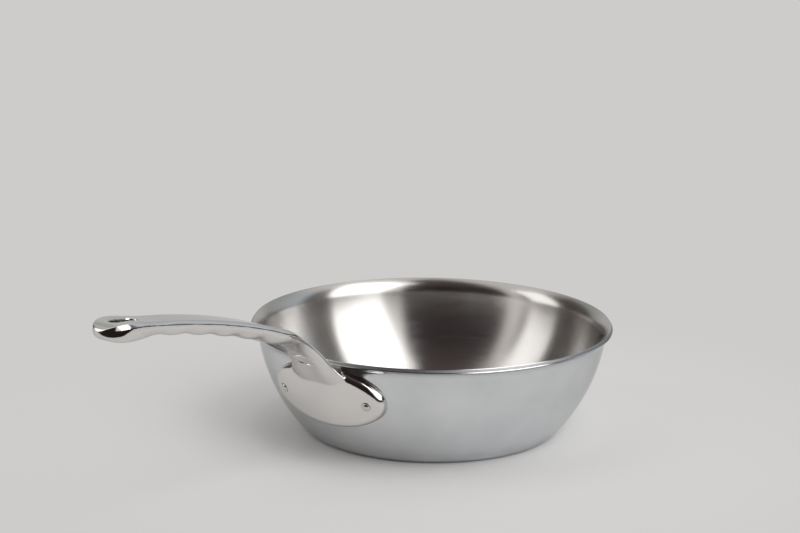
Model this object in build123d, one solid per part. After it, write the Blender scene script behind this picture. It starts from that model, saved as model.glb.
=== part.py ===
"""Saucier pan: a three-layer clad steel body with a pouring lip and a cast handle held by two rivets.

Millimetres. The origin is the centre of the foot, on the surface that the pan stands on.
+Z is up and the handle reaches out along -X.
"""
from build123d import *
import math
import os

os.makedirs("parts", exist_ok=True)

# Pan body, outside sizes
lip_radius = 125.0
pan_height = 75.0
foot_radius = 87.4
foot_corner_radius = 8.0
lip_curve_radius = 11.0
lip_slope = 31.0

# Layers of the clad sheet, from the inside out
inner_skin_thickness = 0.5
core_thickness = 1.7
outer_skin_thickness = 0.5
lip_edge_bevel = 0.25
edge_bevel_share = 0.8

# Mounting plate of the handle, with its centre set down from the lip
plate_half_width = 44.5
plate_half_height = 22.0
plate_centre_drop = 26.8
plate_thickness = 6.0
plate_edge_round = 5.2
junction_round = 3.5

# Rivets, set in from the ends of the plate and a little below its centre
rivet_radius = 3.0
rivet_inset = 10.0
rivet_drop = 0.2
rivet_head_radius = 6.5
rivet_head_height = 2.6
rivet_end_dome = 0.9
rivet_end_proud = 0.35

# Start of the handle inside the plate: above the plate's centre, under its face, and leaning out
handle_start_rise = 1.2
handle_start_cover = 4.35
handle_start_lean = 17.36

# Middle line of the handle, from inside the plate to the tip, as arcs: length and final slope
root_length, root_slope = 29.7, 53.6
neck_length, neck_slope = 37.7, 23.1
shoulder_length, shoulder_slope = 43.8, 16.4
grip_length, grip_slope = 86.1, 7.5
tip_length, tip_slope = 34.0, 3.0

# Cross-sections of the handle; the root follows the plate
root_width_share = 0.562
root_spread_share = 3.227
neck_half_width = 12.4
neck_thickness = 5.6
palm_half_width = 14.4
palm_thickness = 10.2
waist_half_width = 11.4
waist_thickness = 9.0
bulb_half_width = 13.2
bulb_thickness = 12.6
bulb_length = 16.0
end_face_angle = 86.0

# Finger waves on the underside of the grip
wave_pitch = 22.6
wave_depth = 1.2
wave_count = 5
wave_start = 74.0

# Hanging slot through the end of the handle
slot_length = 20.0
slot_width = 9.0
slot_edge_round = 1.2
slot_end_margin = 10.0
mouth_edge_cosine = 0.7

# Bare oval sunk in the neck
mark_width = 17.0
mark_height = 10.5
mark_pad_width = 18.5
mark_pad_height = 7.0
mark_depth = 0.8
mark_place = 36.0

# Reach of a cutting tool past the faces that it cuts
overrun = 5.0

sheet_thickness = inner_skin_thickness + core_thickness + outer_skin_thickness

plate_centre_height = pan_height - plate_centre_drop
rivet_height = plate_centre_height - rivet_drop
rivet_spacing = 2 * (plate_half_width - rivet_inset)
handle_start_height = plate_centre_height + handle_start_rise
root_half_width = plate_half_width * root_width_share
root_spread_length = plate_half_height * root_spread_share
handle_length = root_length + neck_length + shoulder_length + grip_length + tip_length


# Lip arc of the outer face
lip_sine = math.sin(math.radians(lip_slope))
lip_cosine = math.cos(math.radians(lip_slope))
lip_low_height = pan_height - sheet_thickness * lip_cosine
lip_centre = (
    lip_radius + lip_curve_radius * lip_sine,
    lip_low_height - lip_curve_radius * lip_cosine,
)


def ball_through_foot(touched, touched_radius):
    """Radius of the ball centred on the axis that passes the foot's edge and touches a circle."""
    far, high = touched
    excess = far**2 + high**2 - foot_radius**2 - touched_radius**2
    square = high**2 - touched_radius**2
    linear = excess * touched_radius
    constant = excess**2 / 4 + (high * foot_radius) ** 2
    return (math.sqrt(linear**2 + 4 * square * constant) - linear) / (2 * square)


# The side is a zone of a ball, and the foot's corner is an arc that touches it from inside
side_ball_radius = ball_through_foot(lip_centre, lip_curve_radius)
side_centre = (0, math.sqrt(side_ball_radius**2 - foot_radius**2))
corner_reach = side_ball_radius - foot_corner_radius
corner_centre = (
    math.sqrt(corner_reach**2 - (side_centre[1] - foot_corner_radius) ** 2),
    foot_corner_radius,
)


def side_radius(height, outwards=0.0):
    """Radius of the pan's side at a height, on a face set outwards from the outer one."""
    return math.sqrt((side_ball_radius + outwards) ** 2 - (side_centre[1] - height) ** 2)


def side_slope(height):
    """Angle by which the side's outward normal dips below level, in radians."""
    return math.asin((side_centre[1] - height) / side_ball_radius)


def unit(start, end):
    length = math.dist(start, end)
    return (end[0] - start[0]) / length, (end[1] - start[1]) / length


def arc_between(centre, radius, start_way, end_way):
    """A short arc about a centre, from one direction to another, and its two ends."""
    middle = (start_way[0] + end_way[0], start_way[1] + end_way[1])
    scale = 1 / math.hypot(*middle)
    ways = (start_way, (middle[0] * scale, middle[1] * scale), end_way)
    points = [(centre[0] + radius * w[0], 0, centre[1] + radius * w[1]) for w in ways]
    return ThreePointArc(*points), points[0], points[2]


def sheet_line(depth):
    """The sheet's section at a depth below its outer face: its edges, from the axis to the lip."""
    down = (0, -1)
    at_corner = unit(side_centre, corner_centre)
    at_lip = unit(side_centre, lip_centre)
    from_lip = (-at_lip[0], -at_lip[1])
    lip_end = (-lip_sine, lip_cosine)
    corner, corner_start, _ = arc_between(
        corner_centre, foot_corner_radius - depth, down, at_corner
    )
    side, _, _ = arc_between(side_centre, side_ball_radius - depth, at_corner, at_lip)
    lip, _, lip_tip = arc_between(lip_centre, lip_curve_radius + depth, from_lip, lip_end)
    axis_point = (0, 0, depth)
    return [Line(axis_point, corner_start), corner, side, lip], axis_point, lip_tip


def sheet_layer(outer_depth, inner_depth):
    """One layer of the clad sheet, spun about the axis between two depths."""
    outer_edges, outer_axis, outer_tip = sheet_line(outer_depth)
    inner_edges, inner_axis, inner_tip = sheet_line(inner_depth)
    closing = [Line(outer_tip, inner_tip), Line(inner_axis, outer_axis)]
    section = make_face(outer_edges + inner_edges + closing)
    return revolve(section, Axis.Z)


def bevel_rim_corner(layer, radius, height):
    """Breaks the sharp circle of a skin's edge that has this radius and height."""
    circles = layer.edges().filter_by(GeomType.CIRCLE)
    rim = min(circles, key=lambda edge: abs(edge.center().Z - height) + abs(edge.radius - radius))
    skin = min(inner_skin_thickness, outer_skin_thickness)
    return chamfer(rim, min(lip_edge_bevel, skin * edge_bevel_share))


def spine(place):
    """Point and slope, in radians, at a length along the handle's middle line."""
    height = handle_start_height
    depth = handle_start_cover + neck_thickness * (1 - rise_share)
    out = side_radius(height, plate_thickness - depth)
    slope = math.pi / 2 - side_slope(height) - math.radians(handle_start_lean)
    arcs = (
        (root_length, root_slope),
        (neck_length, neck_slope),
        (shoulder_length, shoulder_slope),
        (grip_length, grip_slope),
        (tip_length, tip_slope),
    )
    for length, end_slope in arcs:
        bend = (math.radians(end_slope) - slope) / length
        step = min(place, length)
        turned = slope + bend * step
        out += (math.sin(turned) - math.sin(slope)) / bend
        height += (math.cos(slope) - math.cos(turned)) / bend
        slope = turned
        place -= step
        if place <= 0:
            break
    return out, height, slope


def spine_plane(place):
    """Plane square to the handle's middle line: x across, y towards the handle's top."""
    out, height, slope = spine(place)
    along = (-math.cos(slope), 0, math.sin(slope))
    return Plane(origin=(-out, 0, height), x_dir=(0, -1, 0), z_dir=along)


# Shape of a cross-section: the flat top's width, and where the side turns under
top_flat_share = 0.88
side_turn_width_share = 0.8
side_turn_depth_share = 0.74
rise_share = 0.42


def strap_section(place, half_width, thickness, wave=0.0, curl=0.0):
    """Closed outline of the handle: a flat top between two creases, and a rounded underside.

    Curl bends the outline about the pan's side: 1 follows the side, 0 is straight.
    """
    curve_radius = side_radius(plate_centre_height, plate_thickness)

    def curled(across, up):
        return across, up + curl * across**2 / (2 * curve_radius)

    rise = thickness * rise_share
    drop = thickness - rise + wave
    crease = half_width * top_flat_share
    turn = (half_width * side_turn_width_share, -drop * side_turn_depth_share)
    right = [curled(*point) for point in ((crease, rise), (half_width, 0), turn)]
    left = [(-across, up) for across, up in reversed(right)]
    crease_height = right[0][1]
    top_middle = (0, 2 * rise - crease_height)
    top = Bezier((-crease, crease_height), top_middle, (crease, crease_height))
    under = Spline(*right, (0, -drop), *left)
    return spine_plane(place) * make_face([top, under])


def between(first, last, share):
    return first + (last - first) * share


# Root and neck: share of the root's spread, share of the way from neck to root width, and curl
root_shares = (
    (0.0, 1.0, 1.0),
    (0.14, 1.0, 1.0),
    (0.22, 0.84, 0.8),
    (0.3, 0.6, 0.5),
    (0.4, 0.36, 0.25),
    (0.55, 0.14, 0.1),
    (0.75, 0.0, 0.0),
)
bulb_turn_shares = (0.3, 0.55, 0.75, 0.9, 1.0)


def handle_sections():
    """All cross-sections, from inside the plate to the tip."""
    sections = []
    for place_share, spread_share, curl in root_shares:
        place = root_spread_length * place_share
        half_width = between(neck_half_width, root_half_width, spread_share)
        sections.append(strap_section(place, half_width, neck_thickness, curl=curl))
    steps = 2 * wave_count
    for step in range(steps + 1):
        half_width = between(palm_half_width, waist_half_width, step / steps)
        thickness = between(palm_thickness, waist_thickness, step / steps)
        wave = wave_depth / 2 * (1 if step % 2 else -1)
        place = wave_start + step * wave_pitch / 2
        sections.append(strap_section(place, half_width, thickness, wave))
    bulb_place = handle_length - bulb_length
    shoulder_place = between(wave_start + wave_count * wave_pitch, bulb_place, 1 / 2)
    half_width = between(waist_half_width, bulb_half_width, 1 / 2)
    thickness = between(waist_thickness, bulb_thickness, 1 / 2)
    sections.append(strap_section(shoulder_place, half_width, thickness))
    sections.append(strap_section(bulb_place, bulb_half_width, bulb_thickness))
    for turn_share in bulb_turn_shares:
        turn = math.radians(end_face_angle * turn_share)
        place = bulb_place + bulb_length * math.sin(turn)
        size = math.cos(turn)
        sections.append(strap_section(place, bulb_half_width * size, bulb_thickness * size))
    return sections


def make_plate():
    """Oval plate, still solid to the axis, with a rounded edge round its outer face."""
    ball = Pos(0, 0, side_centre[1]) * Sphere(side_ball_radius + plate_thickness)
    towards_handle = Plane(
        origin=(0, 0, plate_centre_height), x_dir=(0, -1, 0), z_dir=(-1, 0, 0)
    )
    oval = towards_handle * Ellipse(plate_half_width, plate_half_height)
    plate = ball & extrude(oval, lip_radius + overrun)
    face_edges = plate.edges().filter_by(lambda edge: edge.center().X < -foot_radius)
    return fillet(face_edges, plate_edge_round)


def filled_to(depth):
    """Everything within the sheet's face at a depth, as one solid up to the lip."""
    edges, axis_point, lip_tip = sheet_line(depth)
    centre_top = (0, 0, lip_tip[2])
    section = make_face(edges + [Line(lip_tip, centre_top), Line(centre_top, axis_point)])
    return revolve(section, Axis.Z)


def rivet_planes():
    """Where each rivet passes the outer face of the side, square to it and pointing out."""
    reach = side_radius(rivet_height, plate_thickness)
    turn = math.asin(rivet_spacing / 2 / reach)
    dip = side_slope(rivet_height)
    radius = side_radius(rivet_height)
    planes = []
    for side in (-1, 1):
        across, back = side * math.sin(turn), -math.cos(turn)
        origin = (radius * back, radius * across, rivet_height)
        out = (math.cos(dip) * back, math.cos(dip) * across, -math.sin(dip))
        planes.append(Plane(origin=origin, x_dir=(0, 0, 1), z_dir=out))
    return planes


def make_shank(plane, low, high):
    """A rivet's shank between two heights above the outer face of the side."""
    return extrude(plane.offset(low) * Circle(rivet_radius), high - low)


def cap(plane, base_radius, height):
    """A low dome that stands on a plane, as a slice of a ball."""
    ball_radius = (base_radius**2 + height**2) / (2 * height)
    rim, crown = (base_radius, 0, 0), (0, 0, height)
    half_turn = math.asin(base_radius / ball_radius) / 2
    middle = (
        ball_radius * math.sin(half_turn),
        0,
        height - ball_radius * (1 - math.cos(half_turn)),
    )
    outline = [Line((0, 0, 0), rim), ThreePointArc(rim, middle, crown), Line(crown, (0, 0, 0))]
    return plane * revolve(make_face(outline), Axis.Z)


def make_rivet(plane, inside):
    """Rivet with a broad domed head in the pan and a small domed end in the plate."""
    top = plate_thickness + rivet_end_proud
    shank = make_shank(plane, -sheet_thickness - rivet_head_height / 2, top)
    end = cap(plane.offset(top), rivet_radius, rivet_end_dome)
    inwards = Plane(origin=plane.offset(-sheet_thickness).origin, z_dir=-plane.z_dir)
    seat = extrude(inwards * Circle(rivet_head_radius), -sheet_thickness)
    head = (cap(inwards, rivet_head_radius, rivet_head_height) + seat) & inside
    return shank + end + head


def make_slot():
    """Cutter for the hanging slot, square to the handle near its tip."""
    place = handle_length - slot_end_margin - slot_length / 2
    middle = spine_plane(place)
    plane = Plane(origin=middle.origin, x_dir=middle.z_dir, z_dir=middle.y_dir)
    return extrude(plane * SlotOverall(slot_length, slot_width), bulb_thickness, both=True)


def crosses_handle(edge):
    """True of an edge that runs round the slot's mouth, and not down its wall."""
    down_wall = spine_plane(handle_length - slot_end_margin - slot_length / 2).y_dir
    return abs((edge @ 1 - edge @ 0).normalized().dot(down_wall)) < mouth_edge_cosine


def make_mark():
    """Cutter for two shallow crescents round a bare oval pad on the front of the neck."""
    middle = spine_plane(mark_place)
    front_depth = neck_thickness * (1 - rise_share)
    plane = Plane(origin=middle.origin, x_dir=middle.x_dir, z_dir=-middle.y_dir)
    pad = Ellipse(mark_pad_width / 2, mark_pad_height / 2)
    crescents = Ellipse(mark_width / 2, mark_height / 2) - pad
    return extrude(plane.offset(front_depth - mark_depth) * crescents, overrun)


def make_handle(shanks):
    """One casting: plate, neck and grip, fitted to the side, with its holes and slot."""
    plate = make_plate()
    strap = loft(handle_sections())
    casting = plate + strap
    casting = fillet(new_edges(plate, strap, combined=casting), junction_round)
    slot = make_slot()
    slotted = casting - slot
    rims = new_edges(casting, slot, combined=slotted).filter_by(crosses_handle)
    handle = fillet(rims, slot_edge_round) - filled_to(0)
    for shank in shanks:
        handle -= shank
    return handle - make_mark()


layers = {
    "inner_skin": inner_skin_thickness,
    "core": core_thickness,
    "outer_skin": outer_skin_thickness,
}

planes = rivet_planes()
shanks = [make_shank(plane, -sheet_thickness - overrun, plate_thickness + overrun) for plane in planes]
pieces = {}
depth = sheet_thickness
for name, thickness in layers.items():
    layer = sheet_layer(depth - thickness, depth)
    for shank in shanks:
        layer -= shank
    pieces[name] = layer
    depth -= thickness

upper_rim = sheet_line(sheet_thickness)[2]
lower_rim = sheet_line(0)[2]
pieces["inner_skin"] = bevel_rim_corner(pieces["inner_skin"], upper_rim[0], upper_rim[2])
pieces["outer_skin"] = bevel_rim_corner(pieces["outer_skin"], lower_rim[0], lower_rim[2])

inside = filled_to(sheet_thickness)
for side, plane in zip(("right", "left"), planes):
    pieces[f"rivet_{side}"] = make_rivet(plane, inside)
pieces["handle"] = make_handle(shanks)

for name, piece in pieces.items():
    export_step(piece, f"parts/{name}.step")
    print(name, len(piece.solids()), round(piece.volume))
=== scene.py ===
"""Looks of a saucier pan: clad steel body, cast handle and two rivets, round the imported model."""
import math

import bmesh
import bpy
from mathutils import Matrix, Vector


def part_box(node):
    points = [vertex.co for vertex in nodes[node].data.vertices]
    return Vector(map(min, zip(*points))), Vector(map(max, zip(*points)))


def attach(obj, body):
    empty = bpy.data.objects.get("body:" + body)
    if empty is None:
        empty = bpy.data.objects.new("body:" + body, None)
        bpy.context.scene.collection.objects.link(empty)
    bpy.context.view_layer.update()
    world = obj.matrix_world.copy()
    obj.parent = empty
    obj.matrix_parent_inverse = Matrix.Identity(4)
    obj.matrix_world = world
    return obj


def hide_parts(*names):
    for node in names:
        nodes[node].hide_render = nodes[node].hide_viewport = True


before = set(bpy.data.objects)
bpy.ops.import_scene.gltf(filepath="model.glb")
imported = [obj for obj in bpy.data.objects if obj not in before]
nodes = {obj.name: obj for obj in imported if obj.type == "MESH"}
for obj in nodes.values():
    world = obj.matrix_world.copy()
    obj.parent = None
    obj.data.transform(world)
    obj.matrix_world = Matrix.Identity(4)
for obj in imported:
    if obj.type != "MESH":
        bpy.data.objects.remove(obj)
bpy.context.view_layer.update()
scene = bpy.context.scene
MM = 0.001

# Camera: at the photograph's viewing angle, with the handle out to the left and a little nearer.
# Its place is in the pan's own frame and its angles are in degrees. The roll is the photograph's
# small tilt, and an unturned camera looks straight down.
camera_place = Vector((-1141.0, -840.9, 450.9)) * MM
camera_azimuth = 52.7
camera_dip = 13.426
camera_roll = 0.761
camera_data = bpy.data.cameras.new("camera")
camera_data.sensor_width = 36.0
camera_data.lens = 95.24
camera_data.clip_start = 0.05
camera_data.clip_end = 30.0
camera = bpy.data.objects.new("camera", camera_data)
scene.collection.objects.link(camera)
camera.location = camera_place
camera.rotation_euler = (
    Matrix.Rotation(math.radians(-camera_azimuth), 3, "Z")
    @ Matrix.Rotation(math.radians(90 - camera_dip), 3, "X")
    @ Matrix.Rotation(math.radians(camera_roll), 3, "Z")
).to_euler()
scene.camera = camera


# Inner face: the stainless steel that touches the food, the inside of one disc of clad sheet that was
# spun to a round side and a flared lip, and then brushed round the axis. A fine mesh stands in for the
# CAD one, so that the metal mirrors smoothly.
def linear(hex_colour):
    """The linear colour of an sRGB hex value."""
    parts = [int(hex_colour[i:i + 2], 16) / 255 for i in (1, 3, 5)]
    return tuple(c / 12.92 if c <= 0.04045 else ((c + 0.055) / 1.055) ** 2.4 for c in parts) + (1.0,)


def add_node(tree, kind, links=None, **settings):
    """Adds a node, sets its values and sockets, and links named inputs to other sockets."""
    node = tree.nodes.new(kind)
    for name, value in settings.items():
        setattr(node, name, value)
    for name, source in (links or {}).items():
        socket = node.inputs[name]
        if isinstance(source, bpy.types.NodeSocket):
            tree.links.new(source, socket)
        else:
            socket.default_value = source
    return node


def new_material(name):
    """An empty node material and its tree."""
    material = bpy.data.materials.new(name)
    material.use_nodes = True
    material.node_tree.nodes.clear()
    return material, material.node_tree


lip_radius = 125.0 * MM
pan_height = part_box("inner_skin")[1].z
foot_radius = 87.4 * MM
sheet = 2.7 * MM
skin = 0.5 * MM
foot_corner_radius = 8.0 * MM
lip_curve_radius = 11.0 * MM
lip_slope = math.radians(31.0)
rows_on_arc = {"corner": 10, "side": 48, "lip": 16}
sheet_turns = 288
weld = 0.001 * MM
sharp_angle = math.radians(40)

# The side is a zone of a ball centred on the axis. Its outer face runs to the foot's edge, where an arc
# inside it rounds the corner, and the lip's curve touches it from outside. That touch gives the ball's
# radius, as the positive root of a quadratic equation.
lip_centre = Vector((
    lip_radius + lip_curve_radius * math.sin(lip_slope),
    pan_height - (sheet + lip_curve_radius) * math.cos(lip_slope),
))
excess = lip_centre.length_squared - foot_radius**2 - lip_curve_radius**2
square = lip_centre.y**2 - lip_curve_radius**2
linear_part = excess * lip_curve_radius
constant = excess**2 / 4 + (lip_centre.y * foot_radius) ** 2
side_radius = (math.sqrt(linear_part**2 + 4 * square * constant) - linear_part) / (2 * square)
side_centre = Vector((0.0, math.sqrt(side_radius**2 - foot_radius**2)))
corner_reach = side_radius - foot_corner_radius
corner_drop = side_centre.y - foot_corner_radius
corner_centre = Vector((math.sqrt(corner_reach**2 - corner_drop**2), foot_corner_radius))


def arc(centre, radius, start, end, rows):
    """Points on an arc about a centre, between two directions given as vectors."""
    first, last = math.atan2(start.y, start.x), math.atan2(end.y, end.x)
    for row in range(rows + 1):
        angle = first + (last - first) * row / rows
        yield Vector((centre.x + radius * math.cos(angle), centre.y + radius * math.sin(angle)))


def sheet_line(depth):
    """The sheet's section at a depth below its outer face, from the foot's edge to the lip."""
    down = Vector((0, -1))
    to_corner = corner_centre - side_centre
    to_lip = lip_centre - side_centre
    lip_end = Vector((-math.sin(lip_slope), math.cos(lip_slope)))
    corner = arc(corner_centre, foot_corner_radius - depth, down, to_corner, rows_on_arc["corner"])
    side = arc(side_centre, side_radius - depth, to_corner, to_lip, rows_on_arc["side"])
    lip = arc(lip_centre, lip_curve_radius + depth, -to_lip, lip_end, rows_on_arc["lip"])
    return list(corner) + list(side)[1:] + list(lip)[1:]


def skin_section(outer_depth, inner_depth):
    """Closed section of one layer, from the axis out to the lip and back."""
    outer, inner = sheet_line(outer_depth), sheet_line(inner_depth)
    return [Vector((0, outer_depth))] + outer + inner[::-1] + [Vector((0, inner_depth))]


def group_tree(name, inputs, output):
    """An empty Geometry Nodes tree with its named inputs, and the sockets that they give."""
    tree = bpy.data.node_groups.new(name, "GeometryNodeTree")
    for label, kind in inputs.items():
        tree.interface.new_socket(label, in_out="INPUT", socket_type=kind)
    tree.interface.new_socket(output, in_out="OUTPUT", socket_type="NodeSocketGeometry")
    return tree, add_node(tree, "NodeGroupInput").outputs


def add_lathe(tree, given):
    """Nodes that turn a section about the axis, weld its poles and keep its sharp edges sharp."""
    ring = add_node(
        tree, "GeometryNodeCurvePrimitiveCircle",
        {"Resolution": given["Turns"], "Radius": given["Ring radius"]}, mode="RADIUS",
    )
    inwards = add_node(
        tree, "ShaderNodeMath", {0: given["Ring radius"], 1: -1.0}, operation="MULTIPLY",
    )
    shift = add_node(tree, "ShaderNodeCombineXYZ", {"X": inwards.outputs["Value"]})
    moved = add_node(
        tree, "GeometryNodeSetPosition",
        {"Geometry": given["Section"], "Offset": shift.outputs["Vector"]},
    )
    turned = add_node(
        tree, "GeometryNodeCurveToMesh",
        {"Curve": ring.outputs["Curve"], "Profile Curve": moved.outputs["Geometry"]},
    )
    welded = add_node(
        tree, "GeometryNodeMergeByDistance",
        {"Geometry": turned.outputs["Mesh"], "Distance": given["Weld"]},
    )
    angle = add_node(tree, "GeometryNodeInputMeshEdgeAngle")
    gentle = add_node(
        tree, "FunctionNodeCompare",
        {"A": angle.outputs["Unsigned Angle"], "B": given["Edge angle"]}, operation="LESS_THAN",
    )
    faces = add_node(
        tree, "GeometryNodeSetShadeSmooth", {"Geometry": welded.outputs["Geometry"]}, domain="FACE",
    )
    edges = add_node(
        tree, "GeometryNodeSetShadeSmooth",
        {"Geometry": faces.outputs["Geometry"], "Shade Smooth": gentle.outputs["Result"]},
        domain="EDGE",
    )
    return edges.outputs["Geometry"]


def finish_tree(tree, geometry, finish, output):
    """The end of every tree: real geometry with its finish."""
    real = add_node(tree, "GeometryNodeRealizeInstances", {"Geometry": geometry})
    finished = add_node(
        tree, "GeometryNodeSetMaterial",
        {"Geometry": real.outputs["Geometry"], "Material": finish},
    )
    add_node(tree, "NodeGroupOutput", {output: finished.outputs["Geometry"]})


def plain_mesh(shaped):
    """The mesh of an object with its modifiers applied."""
    bpy.context.view_layer.update()
    evaluated = shaped.evaluated_get(bpy.context.evaluated_depsgraph_get())
    return bpy.data.meshes.new_from_object(evaluated)


def made_piece(name, tree, section, values):
    """Runs a tree on a section, given as radius and height, and keeps the result as a plain mesh."""
    line = bpy.data.curves.new(name, "CURVE")
    line.dimensions = "3D"
    spline = line.splines.new("POLY")
    spline.points.add(len(section) - 1)
    # Turned on the ring, a section's own Y runs down, so the heights go in below zero
    for point, place in zip(spline.points, section):
        point.co = (place.x, -place.y, 0, 1)
    spline.use_cyclic_u = True
    blank = bpy.data.objects.new(name, line)
    scene.collection.objects.link(blank)
    making = blank.modifiers.new("making", "NODES")
    making.node_group = tree
    for item in tree.interface.items_tree:
        if item.name in values:
            making[item.identifier] = values[item.name]
    data = plain_mesh(blank)
    bpy.data.objects.remove(blank)
    mesh = bmesh.new()
    mesh.from_mesh(data)
    on_axis = [edge for edge in mesh.edges if not edge.link_faces]
    bmesh.ops.delete(mesh, geom=on_axis, context="EDGES")
    bmesh.ops.recalc_face_normals(mesh, faces=mesh.faces)
    mesh.to_mesh(data)
    mesh.free()
    piece = bpy.data.objects.new(name, data)
    scene.collection.objects.link(piece)
    return piece


lathe_inputs = {
    "Section": "NodeSocketGeometry", "Turns": "NodeSocketInt", "Ring radius": "NodeSocketFloat",
    "Weld": "NodeSocketFloat", "Edge angle": "NodeSocketFloat", "Finish": "NodeSocketMaterial",
}
spun_sheet, given = group_tree("spun sheet", lathe_inputs, "Sheet")
finish_tree(spun_sheet, add_lathe(spun_sheet, given), given["Finish"], "Sheet")
sheet_values = {
    "Turns": sheet_turns, "Ring radius": lip_radius, "Weld": weld, "Edge angle": sharp_angle,
}


def metal_finish(tree, pattern, pattern_range, roughness, sockets):
    """The end of each metal's tree: bare metal whose roughness follows a pattern."""
    varied = add_node(
        tree, "ShaderNodeMapRange",
        {"Value": pattern.outputs["Fac"], "From Min": pattern_range[0], "From Max": pattern_range[1],
         "To Min": roughness[0], "To Max": roughness[1]},
    )
    surface = add_node(
        tree, "ShaderNodeBsdfPrincipled",
        {"Metallic": 1.0, "Roughness": varied.outputs["Result"]} | sockets,
    )
    add_node(tree, "ShaderNodeOutputMaterial", {"Surface": surface.outputs["BSDF"]})


# Brushed stainless steel: a warm grey mirror, whose fine grooves draw every highlight out up the wall
# and show as faint rings. Their pattern changes fast along the section and slowly round the pan.
groove_pitch = 0.45 * MM  # real grooves are finer and wouldn't show
groove_depth = 0.035 * MM
groove_strength = 0.12
turns_of_pattern = 5.0
brushed_colours = linear("#C9C6C3"), linear("#D3D1CF")
brushed_roughness = 0.19, 0.27
brushed_stretch = 0.8
stretch_turn = 0.25  # a quarter turn, so that highlights stretch across the grooves
steel_edge_tint = linear("#E4E4E4")  # steel mirrors less than other metals where it is seen edge on
noise_range = 0.3, 0.7  # most of a noise pattern's values lie between these
first_colour, second_colour, mixed_colour = 6, 7, 2  # a Mix node's colour sockets

brushed, tree = new_material("brushed stainless steel")
place = add_node(tree, "ShaderNodeTexCoord").outputs["Object"]
parted = add_node(tree, "ShaderNodeSeparateXYZ", {"Vector": place})
flat = add_node(tree, "ShaderNodeCombineXYZ", {"X": parted.outputs["X"], "Y": parted.outputs["Y"]})
from_axis = add_node(tree, "ShaderNodeVectorMath", {0: flat.outputs["Vector"]}, operation="LENGTH")
heading = add_node(tree, "ShaderNodeVectorMath", {0: flat.outputs["Vector"]}, operation="NORMALIZE")
slow = add_node(
    tree, "ShaderNodeVectorMath",
    {0: heading.outputs["Vector"], "Scale": turns_of_pattern}, operation="SCALE",
)
along = add_node(
    tree, "ShaderNodeMath",
    {0: from_axis.outputs["Value"], 1: parted.outputs["Z"]}, operation="ADD",
)
fast = add_node(
    tree, "ShaderNodeMath", {0: along.outputs["Value"], 1: groove_pitch}, operation="DIVIDE",
)
lift = add_node(tree, "ShaderNodeCombineXYZ", {"Z": fast.outputs["Value"]})
way = add_node(
    tree, "ShaderNodeVectorMath",
    {0: slow.outputs["Vector"], 1: lift.outputs["Vector"]}, operation="ADD",
)
grooves = add_node(
    tree, "ShaderNodeTexNoise",
    {"Vector": way.outputs["Vector"], "Scale": 1.0, "Detail": 4.0, "Roughness": 0.65},
)
bump = add_node(
    tree, "ShaderNodeBump",
    {"Height": grooves.outputs["Fac"], "Strength": groove_strength, "Distance": groove_depth},
)
shade = add_node(
    tree, "ShaderNodeMix",
    {"Factor": grooves.outputs["Fac"], first_colour: brushed_colours[0],
     second_colour: brushed_colours[1]}, data_type="RGBA",
)
tangent = add_node(tree, "ShaderNodeTangent", direction_type="RADIAL", axis="Z")
metal_finish(tree, grooves, noise_range, brushed_roughness, {
    "Base Color": shade.outputs[mixed_colour], "Specular Tint": steel_edge_tint,
    "Anisotropic": brushed_stretch, "Anisotropic Rotation": stretch_turn,
    "Normal": bump.outputs["Normal"], "Tangent": tangent.outputs["Tangent"],
})

inner_section = skin_section(sheet - skin, sheet)
inner_face = made_piece("inner_face", spun_sheet, inner_section, sheet_values | {"Finish": brushed})
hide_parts("inner_skin")
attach(inner_face, "root")


# Core: the rolled aluminium between the two steels, bonded to them before the disc was shaped.
# It shows only as the dull line in the ground edge of the lip, so the CAD node stays.
core_colour = linear("#9C9C9E")
core_roughness = 0.38, 0.52
grain_size = 1.5 * MM

# Rolled aluminium: a duller and greyer metal than the steels beside it, with a fine matt grain
core_metal, tree = new_material("rolled aluminium")
place = add_node(tree, "ShaderNodeTexCoord").outputs["Object"]
grain = add_node(
    tree, "ShaderNodeTexNoise", {"Vector": place, "Scale": 1 / grain_size, "Detail": 2.0},
)
metal_finish(tree, grain, noise_range, core_roughness, {"Base Color": core_colour})

nodes["core"].data.materials.clear()
nodes["core"].data.materials.append(core_metal)


# Outer face: the stainless steel of the outside, shaped with the rest of the sheet and buffed on a
# wheel to a soft mirror. It has the same fine mesh as the inner face.
cloud_and_painted_reflection_size = 35 * MM
# The two colours of the clouds, whose spread is partly painted mottled reflection
cloud_and_painted_reflection_colours = linear("#C8CCCF"), linear("#ECEDEE")
buffed_roughness = 0.13, 0.21

# Buffed stainless steel: a cool, soft mirror, with faint lighter and darker clouds in its colour, partly
# the marks the wheel leaves and partly a painted mottled reflection
buffed, tree = new_material("buffed stainless steel")
place = add_node(tree, "ShaderNodeTexCoord").outputs["Object"]
clouds_and_painted_reflection = add_node(
    tree, "ShaderNodeTexNoise", {"Vector": place, "Scale": 1 / cloud_and_painted_reflection_size, "Detail": 3.0},
)
# Colour mixed by the clouds: partly the wheel's marks, partly a painted mottled reflection
shade = add_node(
    tree, "ShaderNodeMix",
    {"Factor": clouds_and_painted_reflection.outputs["Fac"], first_colour: cloud_and_painted_reflection_colours[0],
     second_colour: cloud_and_painted_reflection_colours[1]}, data_type="RGBA",
)
metal_finish(tree, clouds_and_painted_reflection, noise_range, buffed_roughness, {
    "Base Color": shade.outputs[mixed_colour], "Specular Tint": steel_edge_tint,
})

outer_section = skin_section(0.0, skin)
outer_face = made_piece("outer_face", spun_sheet, outer_section, sheet_values | {"Finish": buffed})
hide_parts("outer_skin")
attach(outer_face, "root")


# Handle: one stainless steel casting with its oval plate, ground and polished bright, and held to the
# side by the two rivets. A fine remesh of the CAD solid softens its edges as the polishing wheel does.
handle_grain = 0.4 * MM
handle_softening = 0.5
handle_passes = 3
handle_kept_share = 0.52
handle_colour = linear("#E4E2E0")
handle_roughness = 0.07, 0.14
ripple_size = 14 * MM
ripple_depth = 0.4 * MM
ripple_strength = 0.1
smear_size = 9 * MM
smear_range = 0.35, 0.7


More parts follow.
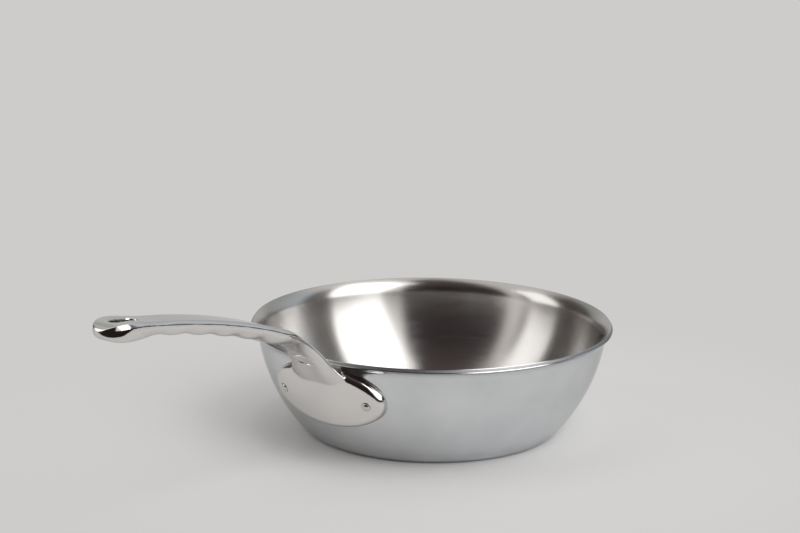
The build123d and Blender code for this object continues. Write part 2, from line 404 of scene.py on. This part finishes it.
def polished_copy(node, name):
    """A fine, evenly meshed and softened copy of a CAD node, thinned where it is flat."""
    data = nodes[node].data.copy()
    data.materials.clear()
    mesh = bmesh.new()
    mesh.from_mesh(data)
    bmesh.ops.remove_doubles(mesh, verts=mesh.verts, dist=weld)
    mesh.to_mesh(data)
    mesh.free()
    piece = bpy.data.objects.new(name, data)
    scene.collection.objects.link(piece)
    remesh = piece.modifiers.new("remesh", "REMESH")
    remesh.mode = "VOXEL"
    remesh.voxel_size = handle_grain
    remesh.use_smooth_shade = True
    soften = piece.modifiers.new("soften", "SMOOTH")
    soften.factor = handle_softening
    soften.iterations = handle_passes
    thin = piece.modifiers.new("thin", "DECIMATE")
    thin.ratio = handle_kept_share
    fine = plain_mesh(piece)
    piece.modifiers.clear()
    piece.data = fine
    for face in fine.polygons:
        face.use_smooth = True
    return piece


# Polished cast steel: a bright clear mirror that ripples a little, as hand-ground castings do, with
# faint smears that dull it in places
bright, tree = new_material("bright polished cast steel")
place = add_node(tree, "ShaderNodeTexCoord").outputs["Object"]
ripples = add_node(
    tree, "ShaderNodeTexNoise", {"Vector": place, "Scale": 1 / ripple_size, "Detail": 2.0},
)
bump = add_node(
    tree, "ShaderNodeBump",
    {"Height": ripples.outputs["Fac"], "Strength": ripple_strength, "Distance": ripple_depth},
)
smears = add_node(
    tree, "ShaderNodeTexNoise", {"Vector": place, "Scale": 1 / smear_size, "Detail": 4.0},
)
metal_finish(tree, smears, smear_range, handle_roughness, {
    "Base Color": handle_colour, "Specular Tint": steel_edge_tint, "Normal": bump.outputs["Normal"],
})

cast_handle = polished_copy("handle", "cast_handle")
cast_handle.data.materials.append(bright)
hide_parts("handle")
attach(cast_handle, "root")


# Rivets: two stainless steel rivets, set from inside, each with a broad low head there. Their other
# ends stand a little out of the plate's holes, domed, with a fine seam round them.
# Heights on a rivet are counted outwards from the pan's outer face.
rivet_count = 2
rivet_radius = 3.0 * MM
rivet_head_radius = 6.5 * MM
rivet_head_height = 2.6 * MM
rivet_top = 6.35 * MM
rim_bevel = 0.2 * MM
dome_radius = 2.45 * MM
dome_height = 1.0 * MM
rivet_drop = 27.0 * MM
rivet_spread = 69.0 * MM
plate_face = 6.0 * MM
rivet_turns = 64
head_rows = 10
dome_rows = 8
rivet_colour = linear("#D8D4D0")
rivet_roughness = 0.1, 0.2
dint_size = 2.5 * MM

# Headed stainless steel: bright, with small duller patches where the heading tool pressed
rivet_metal, tree = new_material("headed stainless steel")
place = add_node(tree, "ShaderNodeTexCoord").outputs["Object"]
dints = add_node(
    tree, "ShaderNodeTexNoise", {"Vector": place, "Scale": 1 / dint_size, "Detail": 2.0},
)
metal_finish(tree, dints, noise_range, rivet_roughness, {"Base Color": rivet_colour})


def cap(radius, height, base, rows):
    """A domed end's section, from its rim in to the axis; a height below zero turns it down."""
    ball = (radius**2 + height**2) / (2 * abs(height))
    half_angle = math.asin(radius / ball)
    for row in range(rows + 1):
        angle = half_angle * (1 - row / rows)
        rise = ball * (math.cos(angle) - math.cos(half_angle))
        yield Vector((ball * math.sin(angle), base + math.copysign(rise, height)))


inner_end = list(cap(rivet_head_radius, -rivet_head_height, -sheet, head_rows))
shank = [
    Vector((rivet_radius, -sheet)),
    Vector((rivet_radius, rivet_top - rim_bevel)),
    Vector((rivet_radius - rim_bevel, rivet_top)),
]
outer_end = list(cap(dome_radius, dome_height, rivet_top, dome_rows))
rivet_section = inner_end[::-1] + shank + outer_end

# Each rivet points along the ball's radius, and the spread is measured on the plate's face
rivet_height = pan_height - rivet_drop
wall_drop = side_centre.y - rivet_height
wall_reach = math.sqrt(side_radius**2 - wall_drop**2)
face_reach = math.sqrt((side_radius + plate_face) ** 2 - wall_drop**2)
rivet_lean = math.pi / 2 + math.asin(wall_drop / side_radius)
half_spread = math.asin(rivet_spread / 2 / face_reach)

rivet_pair, given = group_tree("pair of rivets", lathe_inputs | {
    "Count": "NodeSocketInt", "Reach": "NodeSocketFloat", "Height": "NodeSocketFloat",
    "First direction": "NodeSocketFloat", "Step": "NodeSocketFloat", "Lean": "NodeSocketFloat",
}, "Rivets")
rivet = add_lathe(rivet_pair, given)
index = add_node(rivet_pair, "GeometryNodeInputIndex").outputs["Index"]
stepped = add_node(rivet_pair, "ShaderNodeMath", {0: index, 1: given["Step"]}, operation="MULTIPLY")
direction = add_node(
    rivet_pair, "ShaderNodeMath",
    {0: given["First direction"], 1: stepped.outputs["Value"]}, operation="ADD",
).outputs["Value"]
across = []
for turning in ("COSINE", "SINE"):
    part = add_node(rivet_pair, "ShaderNodeMath", {0: direction}, operation=turning)
    reached = add_node(
        rivet_pair, "ShaderNodeMath",
        {0: part.outputs["Value"], 1: given["Reach"]}, operation="MULTIPLY",
    )
    across.append(reached.outputs["Value"])
spot = add_node(
    rivet_pair, "ShaderNodeCombineXYZ", {"X": across[0], "Y": across[1], "Z": given["Height"]},
)
spots = add_node(
    rivet_pair, "GeometryNodePoints",
    {"Count": given["Count"], "Position": spot.outputs["Vector"]},
)
pointing = add_node(rivet_pair, "ShaderNodeCombineXYZ", {"Y": given["Lean"], "Z": direction})
rotation = add_node(
    rivet_pair, "FunctionNodeEulerToRotation", {"Euler": pointing.outputs["Vector"]},
)
set_rivets = add_node(
    rivet_pair, "GeometryNodeInstanceOnPoints",
    {"Points": spots.outputs["Points"], "Instance": rivet, "Rotation": rotation.outputs["Rotation"]},
)
finish_tree(rivet_pair, set_rivets.outputs["Instances"], given["Finish"], "Rivets")

rivets = made_piece("set_rivets", rivet_pair, rivet_section, {
    "Turns": rivet_turns, "Ring radius": rivet_head_radius, "Weld": weld, "Edge angle": sharp_angle,
    "Finish": rivet_metal, "Count": rivet_count, "Reach": wall_reach, "Height": rivet_height,
    "First direction": math.pi - half_spread, "Step": 2 * half_spread, "Lean": rivet_lean,
})
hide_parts("rivet_left", "rivet_right")
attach(rivets, "root")


# Floor: a plain pale counter, with its front edge a hand's breadth past the handle's tip. Seen or
# mirrored away from the pan it keeps one pale colour, and near the pan it takes the pan's soft shadow.
# Beyond the edge the camera sees the same colour, and the metal mirrors the room.
backdrop_colour = linear("#CDCCCB")
counter_colour = linear("#F2F1F0")
counter_roughness = 0.7
counter_front = 0.34
counter_reach = 6.0
# How much of the one pale colour there is, by distance from the pan's axis in metres
plain_shares = ((0.0, 0.0), (0.1, 0.0), (0.13, 0.25), (0.2, 0.55), (counter_front, 1.0))

# Level directions: towards the camera, and square to that
azimuth = math.radians(camera_azimuth)
facing = Vector((-math.sin(azimuth), -math.cos(azimuth), 0))
aside = Vector((-facing.y, facing.x, 0))
corners = [
    facing * forward + aside * sideways
    for forward, sideways in ((counter_front, counter_reach), (-counter_reach, counter_reach),
                              (-counter_reach, -counter_reach), (counter_front, -counter_reach))
]
floor_mesh = bpy.data.meshes.new("floor")
floor_mesh.from_pydata(corners, [], [(0, 1, 2, 3)])
floor = bpy.data.objects.new("floor", floor_mesh)
scene.collection.objects.link(floor)


def looked_at(tree, mirrored_share):
    """1 for what the camera sees itself, and a share for what metal mirrors or glass lets through."""
    ray = add_node(tree, "ShaderNodeLightPath")
    through_metal_or_glass = add_node(
        tree, "ShaderNodeMath",
        {0: ray.outputs["Is Glossy Ray"], 1: ray.outputs["Is Transmission Ray"]}, operation="ADD",
    )
    mirrored = add_node(
        tree, "ShaderNodeMath",
        {0: through_metal_or_glass.outputs["Value"], 1: mirrored_share}, operation="MULTIPLY",
    )
    seen = add_node(
        tree, "ShaderNodeMath",
        {0: ray.outputs["Is Camera Ray"], 1: mirrored.outputs["Value"]},
        operation="ADD", use_clamp=True,
    )
    return seen.outputs["Value"]


# Pale counter: smooth and matt, so that it shows the pan's shadow and no mirror image of it
counter, tree = new_material("pale counter")
place = add_node(tree, "ShaderNodeTexCoord").outputs["Object"]
distance = add_node(tree, "ShaderNodeVectorMath", {0: place}, operation="LENGTH")
plainness = add_node(tree, "ShaderNodeFloatCurve", {"Value": distance.outputs["Value"]})
curve_points = plainness.mapping.curves[0].points
for away, amount in plain_shares[1:-1]:
    curve_points.new(away, amount)
curve_points[0].location = plain_shares[0]
curve_points[-1].location = plain_shares[-1]
plainness.mapping.update()
plain = add_node(
    tree, "ShaderNodeMath",
    {0: looked_at(tree, 1.0), 1: plainness.outputs["Value"]}, operation="MULTIPLY",
)
shaded = add_node(
    tree, "ShaderNodeBsdfPrincipled",
    {"Base Color": counter_colour, "Roughness": counter_roughness},
)
even = add_node(tree, "ShaderNodeEmission", {"Color": backdrop_colour, "Strength": 1.0})
both = add_node(
    tree, "ShaderNodeMixShader",
    {0: plain.outputs["Value"], 1: shaded.outputs["BSDF"], 2: even.outputs["Emission"]},
)
add_node(tree, "ShaderNodeOutputMaterial", {"Surface": both.outputs["Shader"]})
floor.data.materials.append(counter)


# Light: a wide soft window on the right of the camera, a narrower one on the left, and a plain room
# round them for the metal to mirror. Directions are degrees seen from above, turning left from +X.
aim_height = 50 * MM


def window(name, direction, height, reach, size, power):
    """A soft oblong lamp that faces the pan."""
    lamp = bpy.data.lights.new(name, "AREA")
    lamp.shape = "RECTANGLE"
    lamp.size, lamp.size_y = size
    lamp.energy = power
    fitting = bpy.data.objects.new(name, lamp)
    scene.collection.objects.link(fitting)
    angle = math.radians(direction)
    fitting.location = (reach * math.cos(angle), reach * math.sin(angle), height)
    aim = Vector((0, 0, aim_height)) - fitting.location
    fitting.rotation_euler = aim.to_track_quat("-Z", "Y").to_euler()


window("window_right", direction=273.0, height=1.6, reach=2.0, size=(2.0, 3.0), power=37.0)
window("window_left", direction=129.0, height=1.1, reach=2.0, size=(1.0, 1.8), power=7.5)

# Colours of the room low down, higher up and overhead, by direction
room_low = (
    (0, "#4A4744"),
    (20, "#A9ACA6"),
    (74, "#A9ACA6"),
    (84, "#5C5552"),
    (112, "#5C5552"),
    (120, "#6A645F"),
    (145, "#6A645F"),
    (152, "#2A2320"),
    (300, "#1E1917"),
    (359, "#4A4744"),
)
room_high = (
    (0, "#AEB1AB"),
    (74, "#AEB1AB"),
    (84, "#5C5552"),
    (110, "#4A4340"),
    (119, "#8E8A86"),
    (143, "#8E8A86"),
    (147, "#453C38"),
    (152, "#E0DCD8"),
    (158, "#E0DCD8"),
    (163, "#2A2122"),
    (236, "#241C1D"),
    (240, "#E8E6E4"),
    (270, "#E8E6E4"),
    (296, "#9A9896"),
    (301, "#6E6A66"),
    (313, "#6E6A66"),
    (324, "#C3CCD6"),
    (359, "#AEB1AB"),
)
room_overhead = (
    (0, "#E0DEDC"),
    (150, "#E0DEDC"),
    (170, "#4A4040"),
    (245, "#4A4040"),
    (262, "#E0DEDC"),
)
# Where each ring of colours gives way to the next, as the upward share of a direction
low_to_high = 0.09, 0.15
high_to_overhead = 0.62, 0.8
# Where the room gives way to the backdrop in a mirror: the share of a direction that runs away from
# the camera
room_to_backdrop = 0.8, 0.9

world = bpy.data.worlds.new("room")
world.use_nodes = True
scene.world = world
tree = world.node_tree
tree.nodes.clear()
way = add_node(tree, "ShaderNodeTexCoord").outputs["Generated"]
parted = add_node(tree, "ShaderNodeSeparateXYZ", {"Vector": way})
turn = add_node(
    tree, "ShaderNodeMath",
    {0: parted.outputs["Y"], 1: parted.outputs["X"]}, operation="ARCTAN2",
)
whole_turn = add_node(
    tree, "ShaderNodeMath", {0: turn.outputs["Value"], 1: math.tau}, operation="FLOORED_MODULO",
)
turn_share = add_node(
    tree, "ShaderNodeMath", {0: whole_turn.outputs["Value"], 1: math.tau}, operation="DIVIDE",
)
rings = []
for colours in (room_low, room_high, room_overhead):
    ring = add_node(tree, "ShaderNodeValToRGB", {"Fac": turn_share.outputs["Value"]})
    stops = ring.color_ramp.elements
    while len(stops) < len(colours):
        stops.new(1.0)
    for stop, (degrees, colour) in zip(stops, colours):
        stop.position = degrees / 360
        stop.color = linear(colour)
    rings.append(ring.outputs["Color"])
room_colour = rings[0]
for ring_above, (start, end) in zip(rings[1:], (low_to_high, high_to_overhead)):
    raised = add_node(
        tree, "ShaderNodeMapRange",
        {"Value": parted.outputs["Z"], "From Min": start, "From Max": end},
    )
    blended = add_node(
        tree, "ShaderNodeMix",
        {"Factor": raised.outputs["Result"], first_colour: room_colour, second_colour: ring_above},
        data_type="RGBA",
    )
    room_colour = blended.outputs[mixed_colour]
room_light = add_node(tree, "ShaderNodeBackground", {"Color": room_colour, "Strength": 1.0})

# The pale backdrop: all that the camera sees past the floor, and what metal or glass shows of it
behind = add_node(
    tree, "ShaderNodeVectorMath", {0: way, 1: tuple(-facing)}, operation="DOT_PRODUCT",
)
backdrop_share = add_node(
    tree, "ShaderNodeMapRange",
    {"Value": behind.outputs["Value"], "From Min": room_to_backdrop[0], "From Max": room_to_backdrop[1]},
)
backdrop = add_node(tree, "ShaderNodeBackground", {"Color": backdrop_colour, "Strength": 1.0})
both = add_node(
    tree, "ShaderNodeMixShader",
    {0: looked_at(tree, backdrop_share.outputs["Result"]), 1: room_light.outputs["Background"],
     2: backdrop.outputs["Background"]},
)
add_node(tree, "ShaderNodeOutputWorld", {"Surface": both.outputs["Shader"]})

scene.view_settings.view_transform = "Standard"
